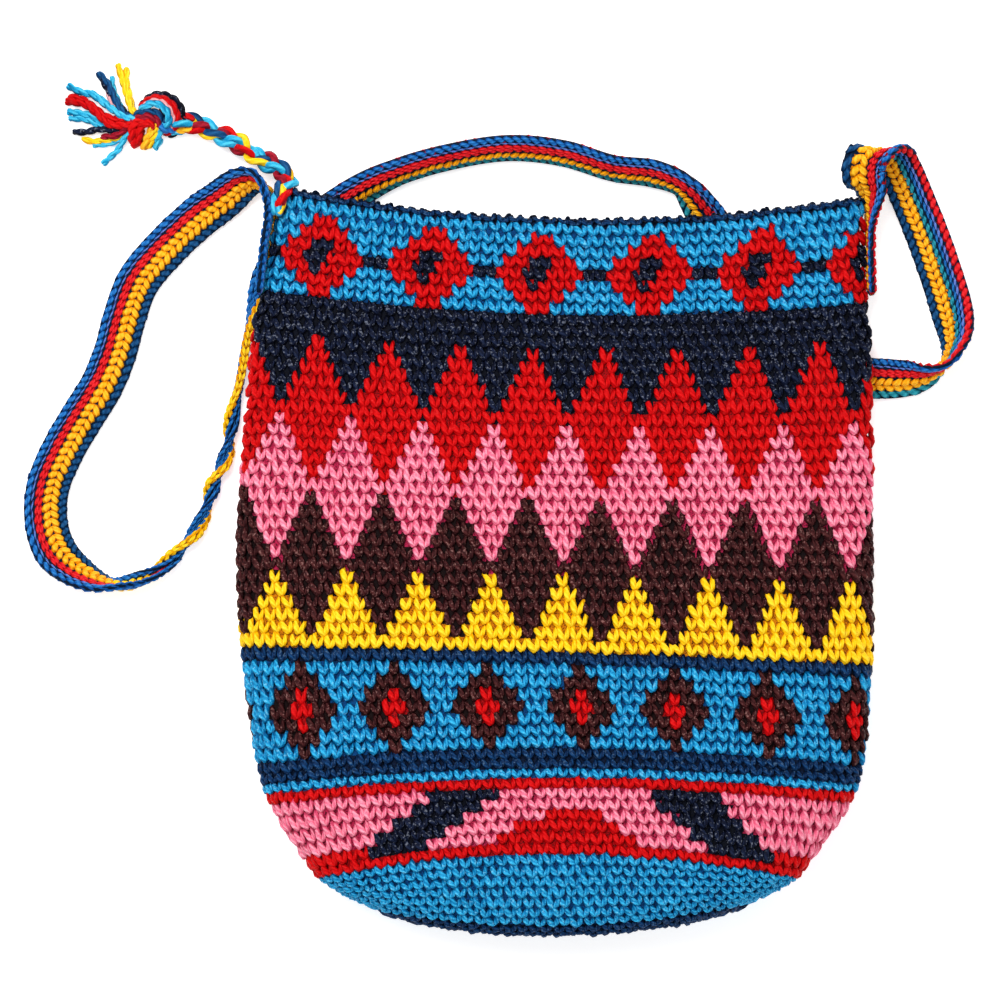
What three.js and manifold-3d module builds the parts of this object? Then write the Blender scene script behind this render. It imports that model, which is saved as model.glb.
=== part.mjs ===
// A crocheted shoulder bag, empty, lying on its back with its strap round it.
// Millimetres, +Z up. The mouth points along +Y, and the origin is on the surface
// that the bag lies on, under the middle of the bag body.
import * as THREE from 'three';
import { mergeVertices } from 'three/addons/utils/BufferGeometryUtils.js';
import Module from 'manifold-3d';

const wasm = await Module();
wasm.setup();

// Bag body
const wallThickness = 4;         // crocheted wall
const bodySegments = 44;         // faces round the body
const sectionPower = 2.7;        // how square the flattened section is
const innerLastRow = 56;         // where the inside stops going down and closes
const innerFloor = [2, -137, 23];

// Shoulder strap, a flat woven band
const strapWidth = 19;
const strapThickness = 3.2;
const strapSteps = 78;
const strapCorner = 0.9;         // bevel of the band's edges
const strapClearance = 0.3;      // between the surface and the band's lowest edge

// Tail: braid, knot and tassel
const braidDiameter = 8.6;
const knotRadii = [7.4, 7.4, 6.6];
const knotCentre = [-172.6, 195.9, 7.1];
const neckDiameter = 8;
const yarnDiameter = 2.7;
const roundSides = 8;

// The body's section at several rows of crochet, counted from the rim (0) to the
// middle of the base (72). left and right are the points on the side folds, front
// and back the middle of each face: [x, y] and [y, z]. side is the folds' height.
const bodyRows = [
  { row: 0, left: [-119, 163.6], right: [134.6, 159.6], front: [150.2, 21.5], back: [149.6, 5], side: 13 },
  { row: 4, left: [-123.6, 143], right: [135.2, 138], front: [132, 23.2], back: [131, 5], side: 13 },
  { row: 9, left: [-126.4, 118], right: [136, 112.4], front: [107.1, 25.6], back: [106, 5], side: 13 },
  { row: 12, left: [-132.4, 101.4], right: [139.2, 96.6], front: [91.7, 27.4], back: [91, 5], side: 13.4 },
  { row: 17, left: [-136, 71], right: [140, 65.6], front: [63.6, 30.6], back: [63, 4.6], side: 14 },
  { row: 21, left: [-138, 49.2], right: [140.3, 43], front: [42, 33], back: [42, -1], side: 14.6 },
  { row: 28, left: [-140.6, 7], right: [140.6, 1.8], front: [3.8, 37.6], back: [4, -3], side: 16 },
  { row: 36, left: [-138.8, -38.9], right: [140, -46.9], front: [-40.7, 42.8], back: [-40, -3], side: 17.6 },
  { row: 44, left: [-131.6, -90], right: [135.8, -91], front: [-82.5, 47.6], back: [-82, -3], side: 19 },
  { row: 48, left: [-125.6, -108], right: [130.6, -107], front: [-99.7, 49.6], back: [-101, -3], side: 19.4 },
  { row: 53, left: [-114.4, -129.4], right: [120.4, -127.4], front: [-123.6, 50.6], back: [-126, -3], side: 19.6 },
  { row: 57, left: [-101, -141.8], right: [106.6, -139.2], front: [-142.6, 49], back: [-145, -1], side: 20 },
  { row: 60, left: [-86, -150.6], right: [92, -147.6], front: [-156.4, 44.6], back: [-156.6, 2.6], side: 21 },
  { row: 62, left: [-73, -156.2], right: [79, -154], front: [-162, 40.4], back: [-161.4, 5.6], side: 21.6 },
  { row: 64, left: [-59, -159.2], right: [65, -157.6], front: [-163.6, 36], back: [-163, 9.4], side: 22 },
  { row: 67, left: [-37, -159.4], right: [42, -158.6], front: [-160.6, 31.2], back: [-160.4, 15], side: 22.6 },
  { row: 70, left: [-14.4, -153.6], right: [18.8, -153.4], front: [-153.6, 26], back: [-153.6, 20.4], side: 23 },
];
const baseMiddle = [2, -148.6, 23.2];
const outerRows = [71, 70, 68.5, 67, 65.5, 64, 63, 62, 61, 60, 58.5, 57, 55, 53, 50.5, 48, 44, 40, 36,
  32, 28, 24.5, 21, 19, 17, 14.5, 12, 9, 6.5, 4, 2, 0];
const innerRows = [0, 4, 9, 12, 17, 21, 28, 36, 44, 48, 53, innerLastRow];

// The strap's centreline from its left end, sewn to the bag's side, round to its
// right end. Each point is [x, y, z], the direction of its blue edge [x, y, z], and
// how much of its width is left where it is folded lengthwise.
const strapRoute = [
  [-129.8, 117, 13, -0.1, 0, 1, 1],
  [-127.2, 140, 13, -0.15, 0, 1, 1],
  [-125.2, 154, 13.2, -0.2, 0, 1, 1],
  [-127.6, 163, 13.2, -0.25, 0.2, 0.95, 1],
  [-132.8, 167, 12, -0.25, 0.45, 0.85, 1],
  [-138.6, 165.6, 9.6, -0.35, 0.6, 0.7, 1],
  [-147, 159, 5, -0.6, 0.8, 0.4, 1],
  [-158, 151, 2.6, -0.62, 0.78, 0.1, 1],
  [-172.5, 137.5, 2.1, -0.7, 0.7, 0, 1],
  [-184.8, 122.5, 2.1, -0.85, 0.45, 0, 1],
  [-190.8, 106.6, 2.1, -0.97, 0.3, 0, 1],
  [-195, 91, 2.1, -0.95, 0.35, 0, 1],
  [-201, 76.4, 2.1, -0.9, 0.45, 0, 1],
  [-210, 61.8, 2.1, -0.87, 0.5, 0, 1],
  [-218.6, 46.8, 2.1, -0.9, 0.42, 0, 1],
  [-224.6, 32, 2.1, -0.98, 0.2, 0, 1],
  [-225.6, 17, 2.2, -1, -0.1, 0.05, 1],
  [-221.2, 3, 3.4, -0.85, -0.5, 0.3, 1],
  [-210.5, -6.6, 7.2, -0.35, -0.6, 0.8, 0.98],
  [-197.5, -11.6, 9.4, -0.05, -0.25, 1, 0.95],
  [-183.6, -9.4, 8.6, 0.05, 0, 1, 0.85],
  [-171, -2.4, 6.6, -0.1, 0.25, 1, 0.6],
  [-160.6, 10.4, 4.6, -0.4, 0.4, 0.8, 0.4],
  [-153.2, 26, 3.9, -0.8, 0.5, 0.2, 0.36],
  [-148, 40, 3.9, -0.8, 0.5, 0.2, 0.36],
  [-143.9, 54.4, 3.6, -0.8, 0.4, 0.1, 0.4],
  [-141.2, 67.6, 2.6, -0.9, 0.4, 0, 0.6],
  [-138.6, 83, 2.6, -0.9, 0.3, 0, 0.9],
  [-134.6, 103, 2.6, -0.9, 0.45, 0, 1],
  [-124, 126, 2, -0.8, 0.6, 0, 1],
  [-105, 148, 2, -0.75, 0.65, 0, 1],
  [-88, 161.6, 3.4, -0.5, 0.8, 0.3, 0.8],
  [-70, 170.6, 5.6, -0.2, 0.8, 0.55, 0.72],
  [-46, 177.6, 6.2, -0.15, 0.8, 0.58, 0.72],
  [-20, 181.4, 6.2, 0, 0.8, 0.58, 0.72],
  [4, 179, 6.2, 0.15, 0.8, 0.58, 0.72],
  [26, 172.4, 6, 0.12, 0.8, 0.58, 0.72],
  [44, 170, 5.4, 0.1, 0.8, 0.5, 0.74],
  [57, 164.6, 5.4, 0.4, 0.6, 0.6, 0.85],
  [67, 151, 2.2, 0.85, 0.5, 0, 1],
  [78, 131, 2, 0.85, 0.5, 0, 1],
  [94, 108, 2, 0.75, 0.65, 0, 1],
  [114, 90, 2, 0.5, 0.85, 0, 1],
  [136, 80.6, 2, 0.2, 1, 0, 1],
  [148, 79.4, 2.4, 0, 1, 0.1, 1],
  [158, 80, 4.4, -0.1, 0.9, 0.4, 1],
  [167, 82.6, 8, -0.15, 0.5, 0.85, 1],
  [174.4, 88.6, 10.2, 0.2, 0.1, 1, 1],
  [177.4, 98, 8.4, 0.65, 0, 0.75, 1],
  [175.6, 111, 4.6, 0.95, 0, 0.3, 1],
  [170.6, 128, 2.6, 1, 0.3, 0.06, 1],
  [164.2, 146, 2.4, 1, 0.33, 0, 1],
  [158, 161, 3, 1, 0.3, 0, 0.98],
  [153.4, 171, 5.6, 1, 0.2, 0, 0.95],
  [149, 177.6, 11.6, 1, 0.1, 0, 0.92],
  [142, 179, 18.8, 1, 0, 0, 0.92],
  [136.8, 175.4, 23, 1, 0, 0.02, 0.95],
  [135.8, 167.6, 21.4, 1, 0, 0.1, 0.95],
  [138.4, 162.6, 17, 0.6, 0, 0.7, 0.98],
  [139.4, 152.6, 14, 0.15, 0, 1, 1],
  [139.4, 144, 13, 0, 0, 1, 1],
  [139.4, 132, 13, 0, 0, 1, 1],
  [140, 117, 13, 0, 0, 1, 1],
];

// The braided tail's centreline, from the bag's left corner to its knot
const braidRoute = [
  [-118, 167.4, 12.4],
  [-122.6, 172.8, 11],
  [-128.6, 176, 9],
  [-133.6, 178.4, 7.6],
  [-138, 182, 6.2],
  [-143, 185.4, 5.2],
  [-149, 188, 4.7],
  [-156.2, 191.4, 4.7],
  [-161, 192.8, 5.2],
  [-164.4, 193.6, 6],
];

// The tassel's yarns from the knot to their cut ends, as points [x, y, z]
const neckRoute = [[-180.6, 195.4, 6.6], [-184, 194.9, 5.6], [-188.4, 194.4, 4.9]];
const tasselYarns = [
  [[-187, 195, 5], [-189.6, 206.2, 3], [-192.6, 219.2, 1.9]],
  [[-187, 194.6, 5], [-196.6, 206.8, 3.2], [-202, 216.6, 1.9]],
  [[-187, 194, 5], [-202.6, 203, 3], [-215.2, 209.6, 1.9]],
  [[-187, 194, 5], [-204, 197, 3], [-216.4, 202.4, 1.9]],
  [[-187, 193.6, 5], [-204, 192.8, 3], [-216, 198, 1.7]],
  [[-187, 193, 5], [-200.6, 188.6, 3], [-212.6, 188.4, 1.9]],
  [[-187, 193, 5], [-197, 185.6, 3], [-209, 186.6, 1.7]],
  [[-187, 193, 5], [-194.8, 183.2, 3], [-205, 183.2, 1.7]],
  [[-187, 193.4, 5], [-194, 180.6, 3], [-199, 175.2, 1.7]],
];
const tasselLoops = [
  [[-187, 193.4, 4.6], [-187.4, 187, 4], [-188, 183.6, 3.4]],
  [[-183.4, 193.6, 4.8], [-182.4, 188, 4.2], [-182, 182.6, 3.4]],
];
const loopDiameter = 5.4;

function smoothAt(list, key, place, row) {
  // a smooth curve through one value of each section
  let i = 0;
  while (i < list.length - 2 && list[i + 1].row < row) i += 1;
  const value = (n) => (place === null ? list[n][key] : list[n][key][place]);
  const slope = (n) => {
    const before = Math.max(n - 1, 0);
    const after = Math.min(n + 1, list.length - 1);
    return (value(after) - value(before)) / (list[after].row - list[before].row);
  };
  const span = list[i + 1].row - list[i].row;
  const t = (row - list[i].row) / span;
  const t2 = t * t;
  const t3 = t2 * t;
  return (2 * t3 - 3 * t2 + 1) * value(i) + (t3 - 2 * t2 + t) * span * slope(i)
    + (3 * t2 - 2 * t3) * value(i + 1) + (t3 - t2) * span * slope(i + 1);
}

function bodySection(row, inset) {
  // one closed ring round the flattened body, set in by the wall for the inside
  const at = (key, place) => smoothAt(bodyRows, key, place, row);
  const xLeft = at('left', 0) + inset * 1.2;
  const xRight = at('right', 0) - inset * 1.2;
  const ring = [];
  for (let i = 0; i < bodySegments; i += 1) {
    const angle = (2 * Math.PI * i) / bodySegments;
    const across = Math.sign(Math.cos(angle)) * Math.abs(Math.cos(angle)) ** (2 / sectionPower);
    const up = Math.abs(Math.sin(angle)) ** (2 / sectionPower);
    const face = Math.sin(angle) >= 0 ? 'front' : 'back';
    const faceHeight = face === 'front' ? at('front', 1) - inset : Math.max(at('back', 1) + inset, inset - 3);
    const sideLine = (at('left', 1) * (1 - across) + at('right', 1) * (1 + across)) / 2;
    const middle = (at('left', 1) + at('right', 1)) / 2;
    const x = (xLeft * (1 - across) + xRight * (1 + across)) / 2;
    const y = sideLine + (1 - across * across) * (at(face, 0) - middle);
    const z = at('side', null) + up * (faceHeight - at('side', null));
    ring.push(new THREE.Vector3(x, y, Math.max(z, inset)));
  }
  return ring;
}

function bandSection(centre, along, edge, width) {
  // a flat band's section: eight corners round its bevelled edges
  const side = edge.clone().addScaledVector(along, -edge.dot(along)).normalize();
  const face = new THREE.Vector3().crossVectors(along, side);
  const a = width / 2;
  const h = strapThickness / 2;
  const c = strapCorner;
  const corners = [[a, c - h], [a, h - c], [a - c, h], [c - a, h], [-a, h - c], [-a, c - h], [c - a, -h], [a - c, -h]];
  return corners.map(([u, v]) => centre.clone().addScaledVector(side, u).addScaledVector(face, v));
}

function loft(rings, startPoint, endPoint) {
  // skins rings of equal count into one closed body, ended by a point each
  const count = rings[0].length;
  const vertices = [...rings.flat(), startPoint, endPoint];
  const start = vertices.length - 2;
  const end = vertices.length - 1;
  const faces = [];
  for (let i = 0; i < count; i += 1) {
    const next = (i + 1) % count;
    faces.push([start, next, i]);
    for (let r = 0; r + 1 < rings.length; r += 1) {
      const a = r * count;
      const b = a + count;
      faces.push([a + i, a + next, b + next]);
      faces.push([a + i, b + next, b + i]);
    }
    const last = (rings.length - 1) * count;
    faces.push([end, last + i, last + next]);
  }
  let volume = 0;
  for (const [a, b, c] of faces) {
    volume += vertices[a].dot(new THREE.Vector3().crossVectors(vertices[b], vertices[c]));
  }
  const geometry = new THREE.BufferGeometry();
  geometry.setAttribute('position', new THREE.Float32BufferAttribute(vertices.flatMap((p) => p.toArray()), 3));
  geometry.setIndex(faces.flatMap(([a, b, c]) => (volume > 0 ? [a, b, c] : [a, c, b])));
  geometry.computeVertexNormals();
  return geometry;
}

function middleOf(ring) {
  const sum = new THREE.Vector3();
  ring.forEach((p) => sum.add(p));
  return sum.divideScalar(ring.length);
}

function bagBody() {
  const outer = outerRows.map((row) => bodySection(Math.min(row, 70), 0));
  const centre = new THREE.Vector3(...baseMiddle);
  outer[0].forEach((p) => p.lerp(centre, 0.5));
  const inner = innerRows.map((row) => bodySection(row, wallThickness));
  return loft([...outer, ...inner], centre, new THREE.Vector3(...innerFloor));
}

function strapBand() {
  const curve = new THREE.CatmullRomCurve3(strapRoute.map((p) => new THREE.Vector3(p[0], p[1], p[2])));
  const rings = [];
  for (let i = 0; i <= strapSteps; i += 1) {
    const u = i / strapSteps;
    const place = curve.getUtoTmapping(u) * (strapRoute.length - 1);
    const from = Math.min(Math.floor(place), strapRoute.length - 2);
    const share = place - from;
    const mix = (k) => strapRoute[from][k] * (1 - share) + strapRoute[from + 1][k] * share;
    const edge = new THREE.Vector3(mix(3), mix(4), mix(5));
    const ring = bandSection(curve.getPointAt(u), curve.getTangentAt(u), edge, strapWidth * mix(6));
    const lift = Math.max(0, strapClearance - Math.min(...ring.map((p) => p.z)));
    ring.forEach((p) => { p.z += lift; });
    rings.push(ring);
  }
  return loft(rings, middleOf(rings[0]), middleOf(rings[strapSteps]));
}

function roundTube(route, diameter, steps) {
  const outline = new THREE.Shape();
  for (let i = 0; i < roundSides; i += 1) {
    const angle = (2 * Math.PI * i) / roundSides;
    const x = (diameter / 2) * Math.cos(angle);
    const y = (diameter / 2) * Math.sin(angle);
    if (i === 0) outline.moveTo(x, y);
    else outline.lineTo(x, y);
  }
  outline.closePath();
  const extrudePath = new THREE.CatmullRomCurve3(route.map((p) => new THREE.Vector3(...p)));
  return new THREE.ExtrudeGeometry(outline, { steps, bevelEnabled: false, extrudePath });
}

function tailKnot() {
  const ball = new THREE.SphereGeometry(1, 16, 10);
  ball.scale(...knotRadii);
  ball.translate(...knotCentre);
  return ball;
}

function toSolid(geometry) {
  const bare = geometry.clone();
  bare.deleteAttribute('normal');
  bare.deleteAttribute('uv');
  const merged = mergeVertices(bare, 1e-4);
  const vertProperties = new Float32Array(merged.attributes.position.array);
  const triVerts = new Uint32Array(merged.index.array);
  return new wasm.Manifold(new wasm.Mesh({ numProp: 3, vertProperties, triVerts }));
}

function fromSolid(solid) {
  const mesh = solid.getMesh();
  const geometry = new THREE.BufferGeometry();
  geometry.setAttribute('position', new THREE.BufferAttribute(new Float32Array(mesh.vertProperties), 3));
  geometry.setIndex(new THREE.BufferAttribute(new Uint32Array(mesh.triVerts), 1));
  geometry.computeVertexNormals();
  return geometry;
}

function tailTassel() {
  let solid = toSolid(roundTube(neckRoute, neckDiameter, 3));
  for (const route of tasselYarns) {
    solid = solid.add(toSolid(roundTube(route, yarnDiameter, 6)));
  }
  for (const route of tasselLoops) {
    solid = solid.add(toSolid(roundTube(route, loopDiameter, 4)));
  }
  return fromSolid(solid);
}

const bag = new THREE.Group();

function addPart(name, geometry, color) {
  const material = new THREE.MeshStandardMaterial({ color, roughness: 0.85, metalness: 0 });
  const mesh = new THREE.Mesh(geometry, material);
  mesh.name = name;
  bag.add(mesh);
}

addPart('bag_body', bagBody(), 0x1e8fcc);
addPart('shoulder_strap', strapBand(), 0xf0a81c);
addPart('tail_braid', roundTube(braidRoute, braidDiameter, 16), 0xd01424);
addPart('tail_knot', tailKnot(), 0x17406f);
addPart('tail_tassel', tailTassel(), 0x29a3cc);

export default bag;
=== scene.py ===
import math
import random

import bmesh
import bpy
import numpy as np
from mathutils import Matrix, Vector, noise


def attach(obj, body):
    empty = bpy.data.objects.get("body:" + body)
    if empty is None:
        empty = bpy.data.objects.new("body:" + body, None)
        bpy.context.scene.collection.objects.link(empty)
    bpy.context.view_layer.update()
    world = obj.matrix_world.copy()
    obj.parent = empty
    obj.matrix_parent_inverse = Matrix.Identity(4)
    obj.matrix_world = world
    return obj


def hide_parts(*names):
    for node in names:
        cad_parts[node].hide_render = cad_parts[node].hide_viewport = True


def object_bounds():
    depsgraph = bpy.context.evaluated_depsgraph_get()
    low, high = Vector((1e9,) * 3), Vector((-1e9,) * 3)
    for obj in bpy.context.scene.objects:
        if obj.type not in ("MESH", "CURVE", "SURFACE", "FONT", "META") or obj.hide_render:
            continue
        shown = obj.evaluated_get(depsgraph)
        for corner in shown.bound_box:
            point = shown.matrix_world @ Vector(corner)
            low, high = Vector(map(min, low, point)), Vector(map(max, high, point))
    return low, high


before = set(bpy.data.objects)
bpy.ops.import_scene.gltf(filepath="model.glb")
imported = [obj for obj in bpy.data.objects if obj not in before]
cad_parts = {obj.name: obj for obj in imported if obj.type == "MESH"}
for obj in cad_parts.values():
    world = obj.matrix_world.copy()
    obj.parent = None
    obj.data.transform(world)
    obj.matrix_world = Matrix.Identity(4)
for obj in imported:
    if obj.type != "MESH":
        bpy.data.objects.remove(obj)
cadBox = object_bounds()
mm = 0.001


studio = {
    "lens": 200,               # a long lens, straight above
    "frameShare": 1.0472,      # width of the view over the width of the bag and strap
    "aside": 0.7 * mm,         # view's middle from the middle of the box
    "down": 2.25 * mm,
    "focusHeight": 24 * mm,    # height at which the view has that width
    "floorSize": 6.0,
    "floorColour": (0.93, 0.93, 0.93),
    "floorGlow": 0.5,          # keeps the floor pale in the shadows
    "worldLight": 0.6,
    "keyPower": 34,
    "keySize": 1.1,
    "keyPlace": (-0.5, 0.9, 1.7),
    "fillPower": 8,
    "fillSize": 1.8,
    "fillPlace": (1.3, -0.9, 1.5),
}


def addCamera():
    low, high = cadBox
    middle = (low + high) / 2
    width = (high.x - low.x) * studio["frameShare"]
    lens = bpy.data.cameras.new("view")
    lens.sensor_width = 36
    lens.lens = studio["lens"]
    height = width * studio["lens"] / lens.sensor_width + studio["focusHeight"]
    lens.clip_start = height * 0.1
    lens.clip_end = height * 20
    eye = bpy.data.objects.new("view", lens)
    eye.location = (middle.x + studio["aside"], middle.y - studio["down"], height)
    bpy.context.scene.collection.objects.link(eye)
    bpy.context.scene.camera = eye


def addLight(name, power, size, place):
    lamp = bpy.data.lights.new(name, "AREA")
    lamp.energy = power
    lamp.size = size
    holder = bpy.data.objects.new(name, lamp)
    holder.location = place
    holder.rotation_euler = (-Vector(place)).to_track_quat("-Z", "Y").to_euler()
    bpy.context.scene.collection.objects.link(holder)


def addStudio():
    addLight("key", studio["keyPower"], studio["keySize"], studio["keyPlace"])
    addLight("fill", studio["fillPower"], studio["fillSize"], studio["fillPlace"])
    world = bpy.data.worlds.new("studio")
    world.use_nodes = True
    world.node_tree.nodes["Background"].inputs["Color"].default_value = (1, 1, 1, 1)
    world.node_tree.nodes["Background"].inputs["Strength"].default_value = studio["worldLight"]
    bpy.context.scene.world = world
    bpy.context.scene.view_settings.view_transform = "Standard"
    half = studio["floorSize"] / 2
    mesh = bpy.data.meshes.new("floor")
    corners = [(-half, -half, 0), (half, -half, 0), (half, half, 0), (-half, half, 0)]
    mesh.from_pydata(corners, [], [(0, 1, 2, 3)])
    floor = bpy.data.objects.new("floor", mesh)
    bpy.context.scene.collection.objects.link(floor)
    paper = bpy.data.materials.new("floorPaper")
    paper.use_nodes = True
    shader = paper.node_tree.nodes["Principled BSDF"]
    shader.inputs["Base Color"].default_value = (*studio["floorColour"], 1)
    shader.inputs["Roughness"].default_value = 0.9
    shader.inputs["Emission Color"].default_value = (1, 1, 1, 1)
    shader.inputs["Emission Strength"].default_value = studio["floorGlow"]
    mesh.materials.append(paper)


addCamera()
addStudio()
print("camera, floor and lights are up")


def addNode(tree, kind, settings=None, values=None):
    # a node with its settings made first, then the values or links of its sockets
    made = tree.nodes.new(kind)
    for key, value in (settings or {}).items():
        setattr(made, key, value)
    for key, value in (values or {}).items():
        socket = made.inputs[key]
        if isinstance(value, Value):
            tree.links.new(value.socket, socket)
        elif isinstance(value, bpy.types.NodeSocket):
            tree.links.new(value, socket)
        else:
            socket.default_value = value
    return made


class Value:
    # a number that varies over a surface: sums with it add Math nodes
    def __init__(self, tree, socket):
        self.tree = tree
        self.socket = socket

    def maths(self, operation, *others):
        terms = dict(enumerate([self, *others]))
        made = addNode(self.tree, "ShaderNodeMath", {"operation": operation}, terms)
        return Value(self.tree, made.outputs[0])

    def __add__(self, other):
        return self.maths("ADD", other)

    def __radd__(self, other):
        return self.maths("ADD", other)

    def __sub__(self, other):
        return self.maths("SUBTRACT", other)

    def __mul__(self, other):
        return self.maths("MULTIPLY", other)

    def sine(self):
        return self.maths("SINE")

    def between(self, low, high):
        # 0 below low, 1 above high, and a smooth rise from one to the other
        values = {"Value": self, "From Min": low, "From Max": high}
        made = addNode(self.tree, "ShaderNodeMapRange", {"interpolation_type": "SMOOTHSTEP"}, values)
        return Value(self.tree, made.outputs[0])


def paint(colour):
    # a colour of 0 to 255 as the light that it stands for
    light = [(c / 255) / 12.92 if c <= 10 else (((c / 255) + 0.055) / 1.055) ** 2.4 for c in colour]
    return (*light, 1)


def mixColours(tree, share, first, second):
    settings = {"data_type": "RGBA", "blend_type": "MIX"}
    made = addNode(tree, "ShaderNodeMix", settings, {0: share, 6: first, 7: second})
    return made.outputs[2]


def noiseOver(tree, place, scale, detail=2.0, roughness=0.5):
    values = {"Vector": place, "Scale": scale, "Detail": detail, "Roughness": roughness}
    return Value(tree, addNode(tree, "ShaderNodeTexNoise", {}, values).outputs["Fac"])


def newMaterial(name):
    material = bpy.data.materials.new(name)
    material.use_nodes = True
    material.node_tree.nodes.clear()
    return material


def addShader(tree, values):
    # the one shader of a material
    shader = addNode(tree, "ShaderNodeBsdfPrincipled", {}, values)
    out = addNode(tree, "ShaderNodeOutputMaterial")
    tree.links.new(shader.outputs[0], out.inputs["Surface"])


# each yarn's main colour, its painted shade for folds and roots, its painted highlight for lit fibres,
# its pale lint, which also serves as painted glints where lit, and how much of the lint shows
yarns = {
    "navy": ((7, 10, 28), (2, 4, 12), (24, 34, 60), (130, 136, 150), 0.6),
    "indigo": ((4, 28, 62), (1, 8, 22), (20, 64, 112), (96, 130, 160), 0.4),
    "sky": ((3, 112, 168), (0, 58, 108), (54, 182, 232), (150, 224, 250), 0.4),
    "red": ((190, 3, 8), (152, 1, 7), (214, 16, 18), (240, 80, 74), 0.16),
    "pink": ((228, 96, 128), (176, 34, 76), (252, 166, 186), (255, 206, 216), 0.2),
    "brown": ((42, 12, 15), (12, 2, 3), (78, 36, 36), (160, 116, 110), 0.55),
    "yellow": ((250, 194, 4), (214, 136, 0), (255, 222, 52), (255, 238, 140), 0.1),
    "gold": ((246, 162, 6), (170, 88, 0), (255, 196, 50), (255, 220, 120), 0.1),
    "strapBlue": ((12, 84, 160), (2, 34, 82), (46, 128, 200), (120, 180, 225), 0.1),
    "periwinkle": ((70, 100, 188), (30, 40, 110), (116, 148, 222), (160, 180, 235), 0.1),
    "strapRed": ((200, 8, 20), (120, 0, 8), (232, 44, 50), (250, 110, 100), 0.1),
    "strapNavy": ((6, 50, 94), (0, 18, 38), (28, 86, 136), (80, 130, 160), 0.1),
    "teal": ((14, 110, 130), (0, 52, 70), (52, 160, 176), (110, 190, 200), 0.1),
    "cyan": ((20, 152, 198), (4, 82, 124), (80, 200, 232), (150, 224, 246), 0.1),
    "darkRed": ((122, 8, 28), (58, 2, 14), (168, 30, 48), (190, 80, 90), 0.1),
    "rose": ((226, 146, 150), (170, 72, 88), (246, 186, 188), (255, 214, 214), 0.1),
}

thread = {
    "plies": 3,            # strands twisted into a yarn
    "plyDepth": 0.4 * mm,
    "fibreScale": 1500,
    "fibreDepth": 0.2 * mm,
    "lintScale": 900,
    "fibreDetail": 2.0,
    "fibreRoughness": 0.6,
    "lintDetail": 1.0,
    "lintFrom": 0.74,      # lint shows where its noise is above these
    "lintFull": 0.84,
    "bumpStrength": 0.9,
    "sheen": 0.06,
    "roughness": 0.55,
    "roughnessSpread": 0.3,
}


def yarnMaterial(name):
    main, deep, light, specks, lintShare = yarns[name]
    material = newMaterial(name + "Yarn")
    tree = material.node_tree
    uv = addNode(tree, "ShaderNodeUVMap", {"uv_map": "UVMap"})
    split = addNode(tree, "ShaderNodeSeparateXYZ", {}, {"Vector": uv.outputs[0]})
    around, along = Value(tree, split.outputs[0]), Value(tree, split.outputs[1])
    ply = ((around * thread["plies"] + along) * (2 * math.pi)).sine() * 0.5 + 0.5
    tone = Value(tree, addNode(tree, "ShaderNodeAttribute", {"attribute_name": "tone"}).outputs["Fac"])
    shade = Value(tree, addNode(tree, "ShaderNodeAttribute", {"attribute_name": "shade"}).outputs["Fac"])
    place = addNode(tree, "ShaderNodeTexCoord").outputs["Object"]
    fibre = noiseOver(tree, place, thread["fibreScale"], thread["fibreDetail"], thread["fibreRoughness"])
    lint = noiseOver(tree, place, thread["lintScale"], thread["lintDetail"])

    # shade is 1 on the lit crown of a thread and 0 under it
    # painted highlight: the light colour on the lit crown, broken up by ply, fibre and tone
    lit = (shade * 0.75 + ply * 0.3 + fibre * 0.7 + tone * 0.12).between(0.9, 1.5)
    # painted shade: the deep colour under the crown and in the roots, mixed with ply, fibre and tone
    paintedShadeAndFibre = (shade * 0.85 + ply * 0.25 + fibre * 0.5 + tone * 0.12).between(0.3, 1.05)
    paintedShadeToMain = mixColours(tree, paintedShadeAndFibre, paint(deep), paint(main))
    withLight = mixColours(tree, lit, paintedShadeToMain, paint(light))
    # pale lint, shown only where shade is high, so it is also painted glints on the lit crowns
    lintAndGlintMask = (lint + fibre * 0.3).between(thread["lintFrom"], thread["lintFull"]) * lintShare * shade
    colour = mixColours(tree, lintAndGlintMask, withLight, paint(specks))

    height = ply * thread["plyDepth"] + fibre * thread["fibreDepth"]
    bump = addNode(tree, "ShaderNodeBump", {},
                   {"Height": height, "Strength": thread["bumpStrength"], "Distance": 1.0})
    roughness = thread["roughness"] + (fibre - 0.5) * thread["roughnessSpread"]
    addShader(tree, {"Base Color": colour, "Roughness": roughness, "Normal": bump.outputs[0],
                     "Specular IOR Level": thread["sheen"]})
    return material


yarnMaterials = {name: yarnMaterial(name) for name in yarns}
print("yarn materials:", len(yarnMaterials))


def newMesh(name, points, faces, uvs=None, shades=None):
    # uvs hold one pair for each corner of each face, shades one number a point
    mesh = bpy.data.meshes.new(name)
    mesh.from_pydata([tuple(p) for p in points], [], faces)
    if uvs is not None:
        layer = mesh.uv_layers.new(name="UVMap")
        layer.data.foreach_set("uv", [number for pair in uvs for number in pair])
    if shades is not None:
        layer = mesh.attributes.new("shade", "FLOAT", "POINT")
        layer.data.foreach_set("value", shades)
    mesh.shade_smooth()
    mesh.validate()
    return mesh


def newPiece(name, mesh):
    piece = bpy.data.objects.new(name, mesh)
    bpy.context.scene.collection.objects.link(piece)
    return piece


def turnedFrames(points):
    # directions across and over a line that don't twist about it
    points = [Vector(p) for p in points]
    frames = []
    over = Vector((0, 0, 1))
    for i in range(len(points)):
        ahead = (points[min(i + 1, len(points) - 1)] - points[max(i - 1, 0)]).normalized()
        across = over.cross(ahead)
        if across.length < 1e-6:
            across = Vector((1, 0, 0)).cross(ahead)
        across.normalize()
        over = ahead.cross(across).normalized()
        frames.append((ahead, across, over))
    return frames


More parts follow.
